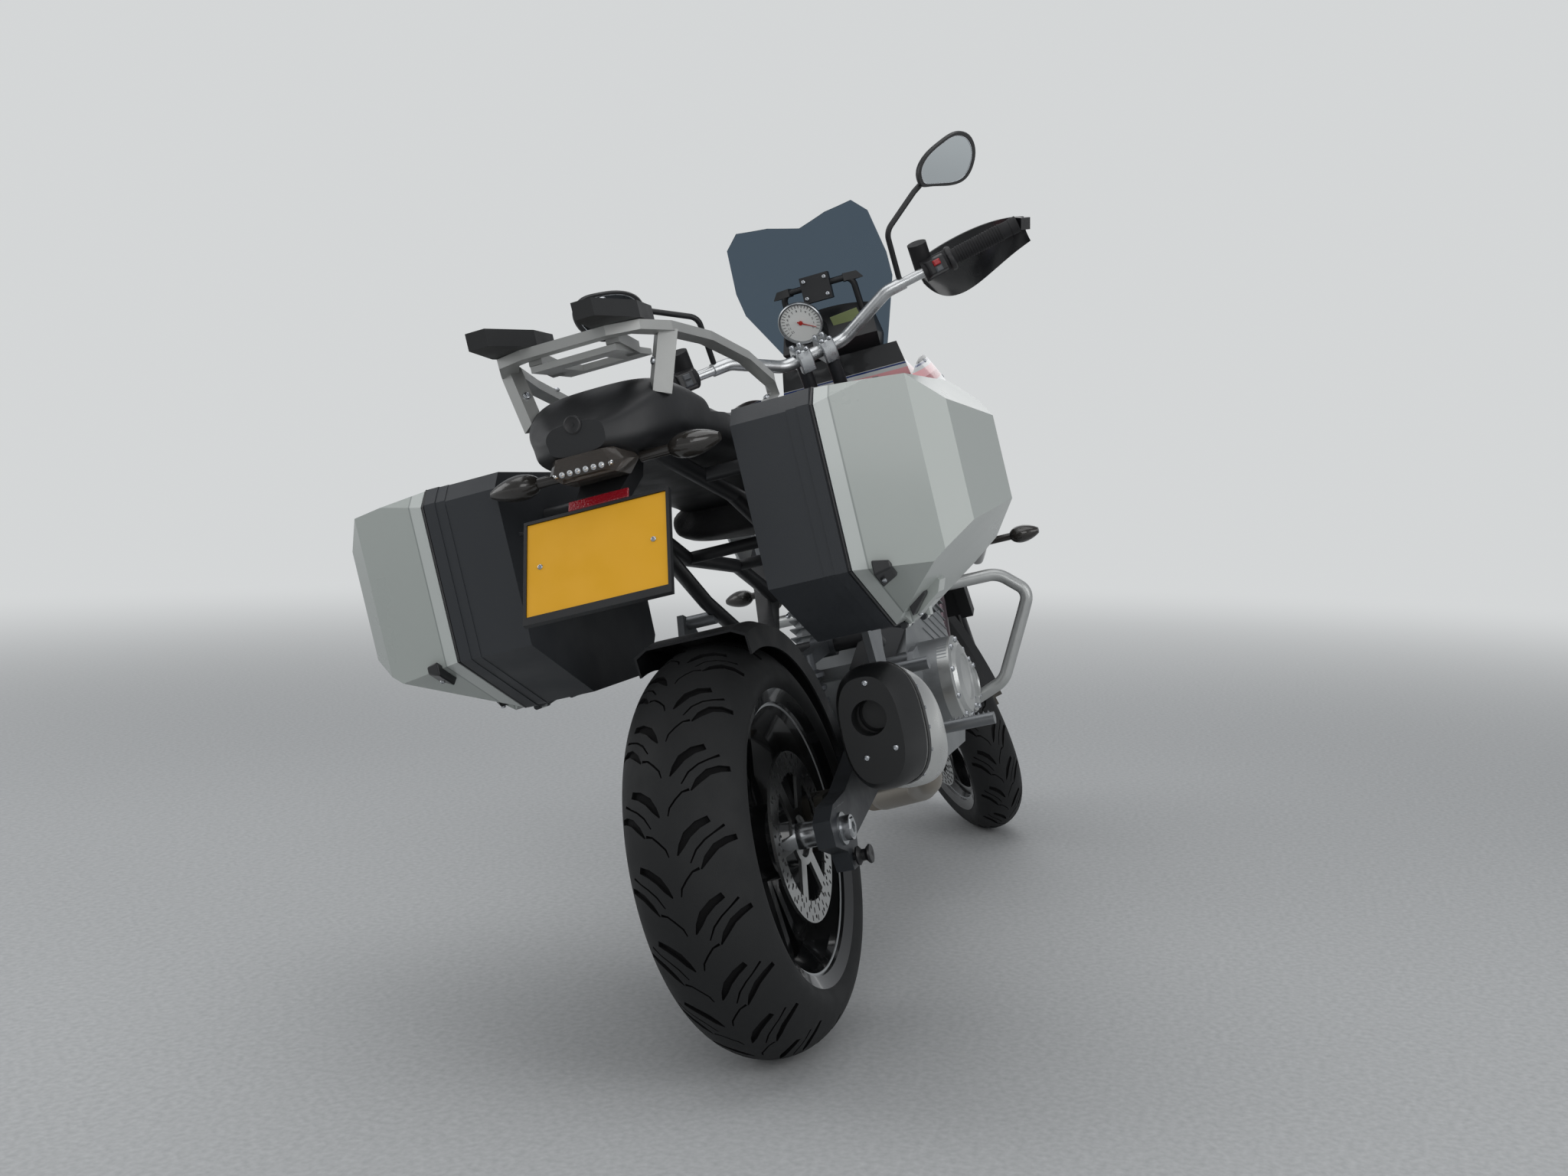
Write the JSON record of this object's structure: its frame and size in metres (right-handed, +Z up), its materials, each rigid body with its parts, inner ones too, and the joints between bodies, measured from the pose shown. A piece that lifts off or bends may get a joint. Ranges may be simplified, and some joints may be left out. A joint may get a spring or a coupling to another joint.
{
  "type": "adventure motorcycle",
  "caption": "Adventure motorcycle with hard side cases, leaning on its side stand with the steering turned left; wheels, steering, stand, case lids and filler cap move.",
  "frame": {"origin": "centre of the bounding box at ground level", "axes": "+X forward along the motorcycle, +Y to its left, +Z up; it leans to +Y on its side stand"},
  "size_m": [2.1833, 1.0008, 1.5693],
  "materials": {
    "axle": "satin",
    "bar": "satin",
    "calliper": "satin",
    "cap": "satin",
    "case_lid": "satin",
    "case_shell": "matte",
    "chain": "satin",
    "disc_steel": "brushed",
    "engine": "matte",
    "exhaust": "satin",
    "fork": "satin",
    "frame": "satin",
    "grip": "matte",
    "indicator": "gloss",
    "lens_white": "gloss",
    "mirror": "polished",
    "peg": "satin",
    "plastic_black": "matte",
    "plate": "satin",
    "rack": "satin",
    "radiator": "matte",
    "red_lens": "gloss",
    "rim_black": "satin",
    "screen": "gloss",
    "seat": "matte",
    "silencer": "brushed",
    "spring": "gloss",
    "sprocket": "satin",
    "stand": "satin",
    "subframe": "satin",
    "swingarm": "satin",
    "tank_paint": "gloss",
    "tyre": "matte",
    "white_paint": "gloss"
  },
  "bodies": {
    "root": {"main_frame": "frame", "subframe": "subframe", "swingarm": "swingarm", "engine": "engine", "radiator": "radiator", "exhaust_pipes": "exhaust", "silencer": "silencer", "silencer_end_cap": "plastic_black", "rear_shock": "spring", "rear_hugger": "plastic_black", "rear_calliper": "calliper", "rear_axle": "axle", "drive_chain": "chain", "fuel_tank": "tank_paint", "rider_seat": "seat", "pillion_seat": "seat", "tail_cowl": "plastic_black", "luggage_rack": "rack", "rack_pads": "plastic_black", "tail_lamp": "red_lens", "plate_holder": "plastic_black", "number_plate": "plate", "indicators": "indicator", "left_case": "case_shell", "right_case": "case_shell", "headlamps": "lens_white", "nose_fairing": "white_paint", "fairing_panels": "white_paint", "windscreen": "screen", "screen_bracket": "plastic_black", "instruments": "plastic_black", "footrests": "peg", "engine_guards": "stand"},
    "rear_wheel": {"rear_tyre": "tyre", "rear_rim": "rim_black", "rear_brake_disc": "disc_steel", "rear_sprocket": "sprocket"},
    "steering": {"fork_legs": "fork", "yokes": "fork", "handlebar": "bar", "bar_controls": "grip", "hand_guards": "plastic_black", "mirrors": "plastic_black", "mirror_glass": "mirror", "front_fender": "white_paint", "front_callipers": "calliper", "front_axle": "axle"},
    "front_wheel": {"front_tyre": "tyre", "front_rim": "rim_black", "front_brake_discs": "disc_steel"},
    "side_stand": {"side_stand": "stand"},
    "left_lid": {"left_lid": "case_lid"},
    "right_lid": {"right_lid": "case_lid"},
    "fuel_cap": {"fuel_cap": "cap"}
  },
  "joints": [
    {"name": "rear_wheel_spin", "type": "hinge", "parent": "root", "child": "rear_wheel", "pos_m": [-0.72726, -0.13275, 0.31158], "axis": [-0.0017, 0.9679, -0.2514], "continuous": true},
    {"name": "steering_turn", "type": "hinge", "parent": "root", "child": "steering", "pos_m": [0.53893, -0.00123, 0.80949], "axis": [-0.4247, 0.2269, 0.8765], "range_deg": [-60, 0]},
    {"name": "front_wheel_spin", "type": "hinge", "parent": "steering", "child": "front_wheel", "pos_m": [0.8177, -0.12672, 0.27764], "axis": [-0.4541, 0.7841, -0.423], "continuous": true},
    {"name": "side_stand_fold", "type": "hinge", "parent": "root", "child": "side_stand", "pos_m": [-0.11604, -0.02417, 0.19251], "axis": [0.0037, 0.8286, 0.5598], "range_deg": [0, 100]},
    {"name": "left_lid_hinge", "type": "hinge", "parent": "root", "child": "left_lid", "pos_m": [-0.57599, 0.235, 0.50125], "axis": [-1, 0, 0.0067], "range_deg": [0, 75]},
    {"name": "right_lid_hinge", "type": "hinge", "parent": "root", "child": "right_lid", "pos_m": [-0.57496, -0.36122, 0.65611], "axis": [1, 0, -0.0067], "range_deg": [0, 75]},
    {"name": "filler_cap_hinge", "type": "hinge", "parent": "root", "child": "fuel_cap", "pos_m": [0.26634, 0.0472, 0.99778], "axis": [-0.0017, 0.9679, -0.2514], "range_deg": [0, 90]}
  ]
}
